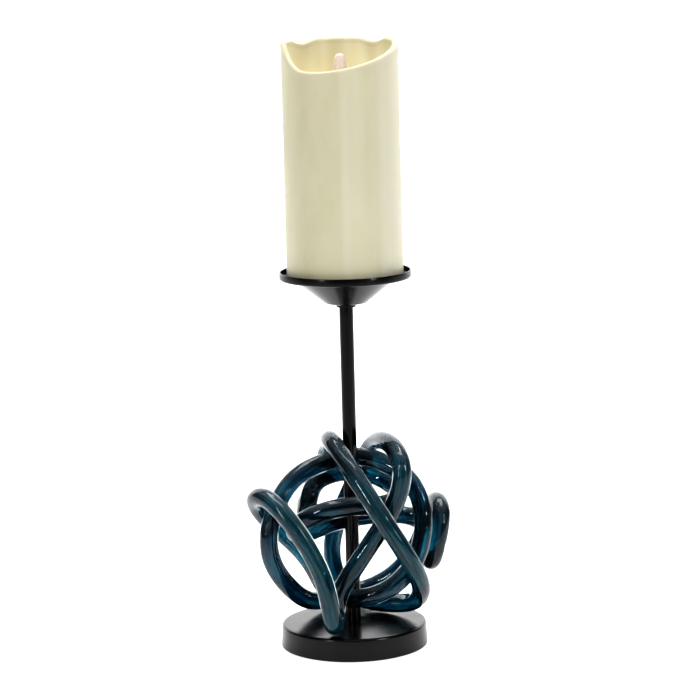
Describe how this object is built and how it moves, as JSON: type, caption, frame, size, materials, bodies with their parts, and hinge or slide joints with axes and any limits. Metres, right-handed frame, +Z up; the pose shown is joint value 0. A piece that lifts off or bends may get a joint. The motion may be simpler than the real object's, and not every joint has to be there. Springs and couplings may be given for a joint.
{
  "type": "candlestick",
  "caption": "Black metal candlestick with a tangled knot of blue glass rod round its stem, a spun pan on top, and a cream battery candle with a melted rim standing in the pan",
  "frame": {"origin": "centre of the underside, on the felt pad's face", "axes": "+Z up along the stem, the knot's long front diagonal faces -Y, its small side loop is at +X"},
  "size_m": [0.1313, 0.1024, 0.391],
  "materials": {
    "black_metal": "satin black enamel",
    "steel": "zinc plated",
    "ballast_iron": "as cast",
    "felt": "felt",
    "blue_glass": "clear casing over a streaked blue-green core",
    "cream_wax": "soft satin wax",
    "core_plastic": "moulded",
    "board": "solder mask",
    "lamp": "clear dome",
    "flame": "translucent moulded",
    "cell_wrap": "printed wrap",
    "brass": "plain",
    "black_plastic": "moulded"
  },
  "bodies": {
    "holder": {"base_shell": "black_metal", "base_weight": "ballast_iron", "base_pad": "felt", "stem_tube": "black_metal", "tie_rod": "steel", "foot_washer": "steel", "foot_nut": "steel", "collar": "black_metal", "pan": "black_metal", "well_washer": "steel", "cap_nut": "steel"},
    "knot": {"glass_knot": "blue_glass"},
    "candle": {"wax_shell": "cream_wax", "candle_core": "core_plastic", "circuit_board": "board", "led": "lamp", "flame_tip": "flame", "batteries": "cell_wrap", "contact_plate": "brass", "contact_springs": "steel", "core_screws": "steel", "switch_body": "black_plastic"},
    "cover": {"battery_cover": "core_plastic"},
    "switch": {"switch_knob": "black_plastic"}
  },
  "joints": [
    {"name": "knot_turn", "type": "hinge", "parent": "holder", "child": "knot", "pos_m": [0, 0, 0.08], "axis": [0, 0, 1], "continuous": true},
    {"name": "candle_lift", "type": "slide", "parent": "holder", "child": "candle", "axis": [0, 0, 1], "range_m": [0, 0.06]},
    {"name": "cover_twist", "type": "hinge", "parent": "candle", "child": "cover", "pos_m": [0, 0, 0.241], "axis": [0, 0, 1], "range_deg": [0, 30]},
    {"name": "switch_slide", "type": "slide", "parent": "candle", "child": "switch", "axis": [1, 0, 0], "range_m": [0, 0.003]}
  ]
}
